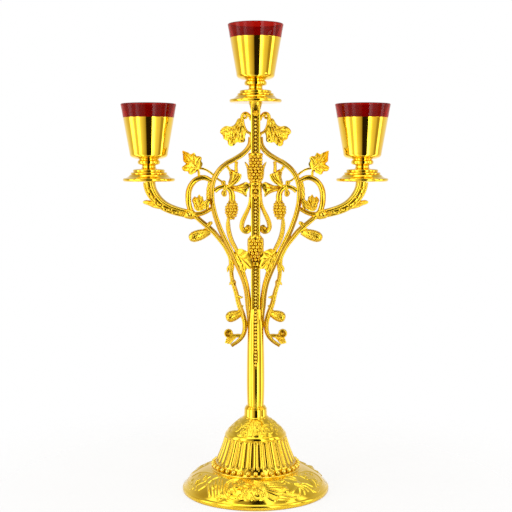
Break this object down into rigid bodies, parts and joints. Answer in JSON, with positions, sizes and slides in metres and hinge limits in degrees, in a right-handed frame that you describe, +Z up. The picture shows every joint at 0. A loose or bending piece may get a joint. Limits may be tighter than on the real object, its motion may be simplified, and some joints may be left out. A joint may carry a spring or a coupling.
{
  "type": "vigil lamp stand",
  "caption": "Branched altar vigil lamp stand of polished gold-coloured metal: bell foot, slim stem, vine-and-leaf openwork, drip pans and flared cups with red glass liners.",
  "frame": {"origin": "centre of the foot's resting ring, on the surface it stands on", "axes": "+Z up along the stem, +X towards the right-hand light seen from the front, front towards -Y"},
  "size_m": [0.2668, 0.1484, 0.4661],
  "materials": {
    "turned_gold": "mirror polished, lacquered",
    "cast_gold": "polished casting with darker hollows",
    "bead_gold": "polished",
    "plain_steel": "zinc plated",
    "red_glass": "clear ruby glass"
  },
  "bodies": {
    "stand": {"arm_left": "cast_gold", "arm_right": "cast_gold", "arm_screws": "bead_gold", "bud_left": "cast_gold", "bud_right": "cast_gold", "clamp_plate": "plain_steel", "column": "cast_gold", "cup_centre": "turned_gold", "cup_knop_centre": "turned_gold", "cup_knop_left": "turned_gold", "cup_knop_right": "turned_gold", "cup_left": "turned_gold", "cup_nuts": "plain_steel", "cup_right": "turned_gold", "cup_studs": "plain_steel", "drip_pan_centre": "turned_gold", "drip_pan_left": "turned_gold", "drip_pan_right": "turned_gold", "flower_left": "cast_gold", "flower_right": "cast_gold", "foot_bead_ring": "bead_gold", "foot_collar": "turned_gold", "foot_nut": "plain_steel", "foot_shell": "turned_gold", "loop_leaf_left": "cast_gold", "loop_leaf_right": "cast_gold", "loop_strand_left": "cast_gold", "loop_strand_right": "cast_gold", "lower_bud_left": "cast_gold", "lower_bud_right": "cast_gold", "lower_flower_left": "cast_gold", "lower_flower_right": "cast_gold", "lower_grapes_cluster": "cast_gold", "lower_leaf_left": "cast_gold", "lower_leaf_right": "cast_gold", "lyre_left": "cast_gold", "lyre_right": "cast_gold", "pearl_strips": "bead_gold", "shoot_left": "cast_gold", "shoot_right": "cast_gold", "side_grapes_left": "cast_gold", "side_grapes_right": "cast_gold", "side_leaf_left": "cast_gold", "side_leaf_right": "cast_gold", "spring_washer": "plain_steel", "stem": "turned_gold", "tie_rod": "plain_steel", "top_leaf_left": "cast_gold", "top_leaf_right": "cast_gold", "upper_grapes_cluster": "cast_gold", "vine_left": "cast_gold", "vine_right": "cast_gold", "volute_left": "cast_gold", "volute_right": "cast_gold"},
    "left_glass": {"glass_left": "red_glass"},
    "centre_glass": {"glass_centre": "red_glass"},
    "right_glass": {"glass_right": "red_glass"}
  },
  "joints": [
    {"name": "left_glass_lift", "type": "slide", "parent": "stand", "child": "left_glass", "axis": [0, 0, 1], "range_m": [0, 0.06]},
    {"name": "centre_glass_lift", "type": "slide", "parent": "stand", "child": "centre_glass", "axis": [0, 0, 1], "range_m": [0, 0.06]},
    {"name": "right_glass_lift", "type": "slide", "parent": "stand", "child": "right_glass", "axis": [0, 0, 1], "range_m": [0, 0.06]}
  ]
}
